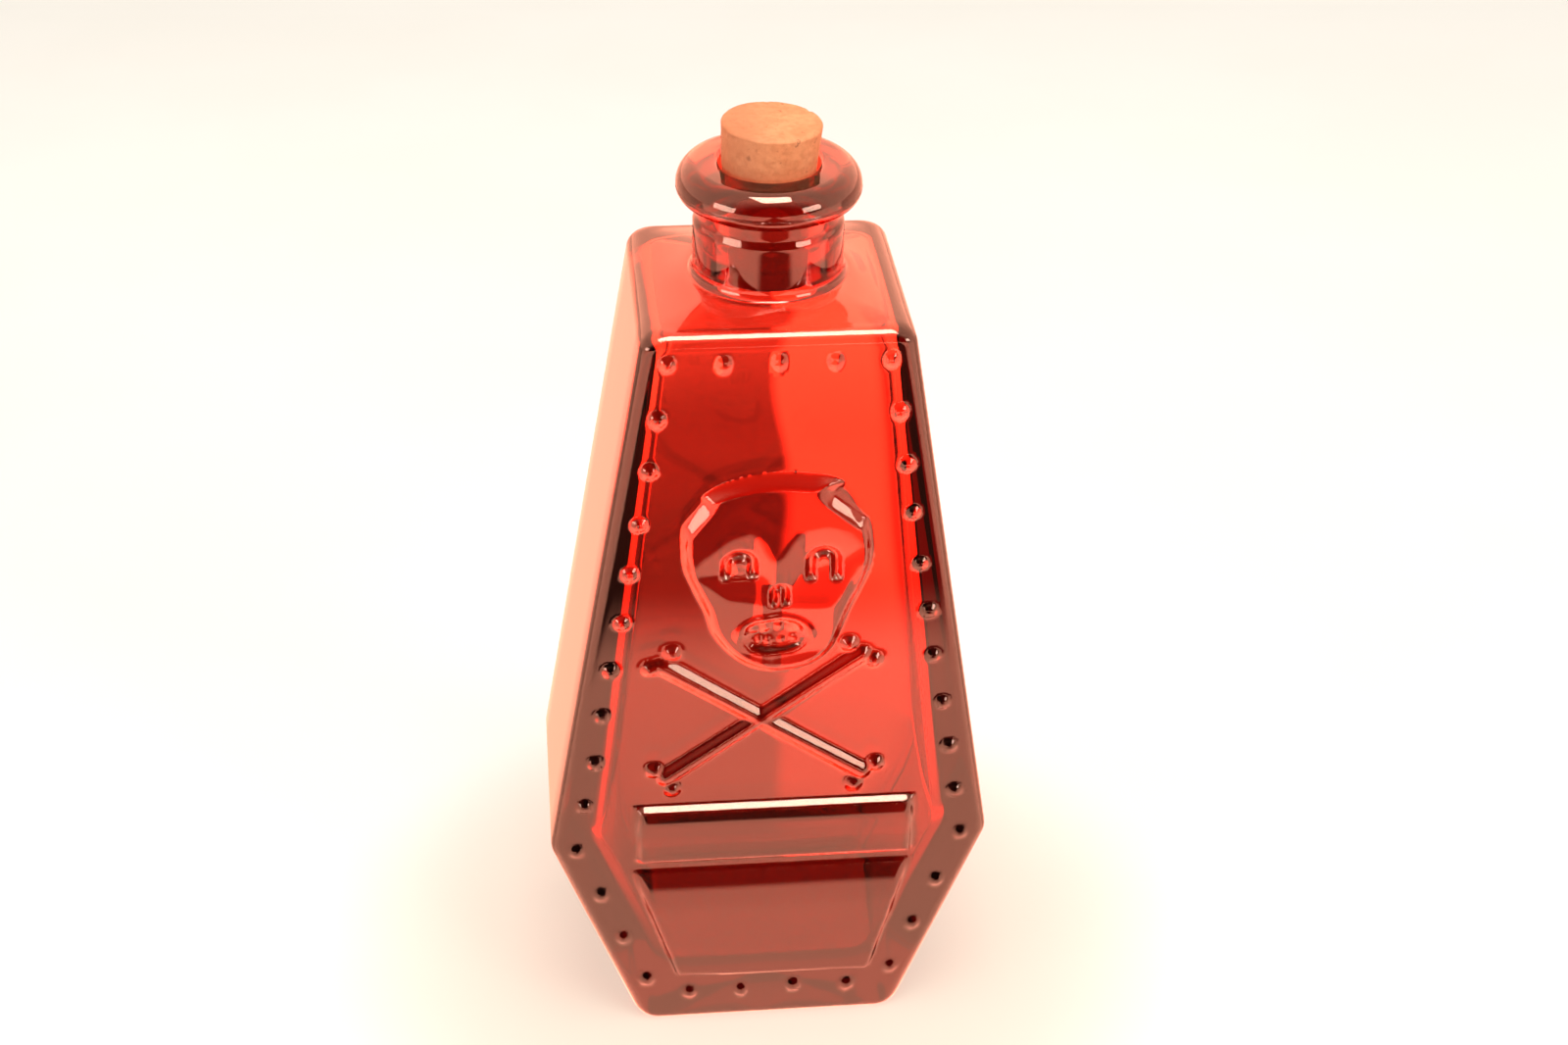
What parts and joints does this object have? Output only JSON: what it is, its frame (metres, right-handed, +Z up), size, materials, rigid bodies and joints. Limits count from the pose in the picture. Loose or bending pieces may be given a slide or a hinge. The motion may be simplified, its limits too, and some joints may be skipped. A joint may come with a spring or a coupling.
{
  "type": "poison bottle",
  "caption": "Small coffin-shaped glass bottle with a raised skull and crossed bones, a border of nail heads, a rolled lip and a tapered cork that lifts out.",
  "frame": {"origin": "centre of the flat base, on the surface that the bottle stands on", "axes": "+Z up through the neck and the cork, -Y out of the front face with the skull and crossed bones, +X to the right as the front is seen"},
  "size_m": [0.0378, 0.0212, 0.0826],
  "materials": {
    "ruby_glass": "clear ruby-red moulded glass, fire-polished and smooth, with slightly wavy walls",
    "cork": "natural fine-grained cork, matt, with small dark pits"
  },
  "bodies": {
    "bottle": {"glass_bottle": "ruby_glass"},
    "cork": {"cork_stopper": "cork"}
  },
  "joints": [
    {"name": "cork_pull", "type": "slide", "parent": "bottle", "child": "cork", "axis": [0, 0, 1], "range_m": [0, 0.03]}
  ]
}
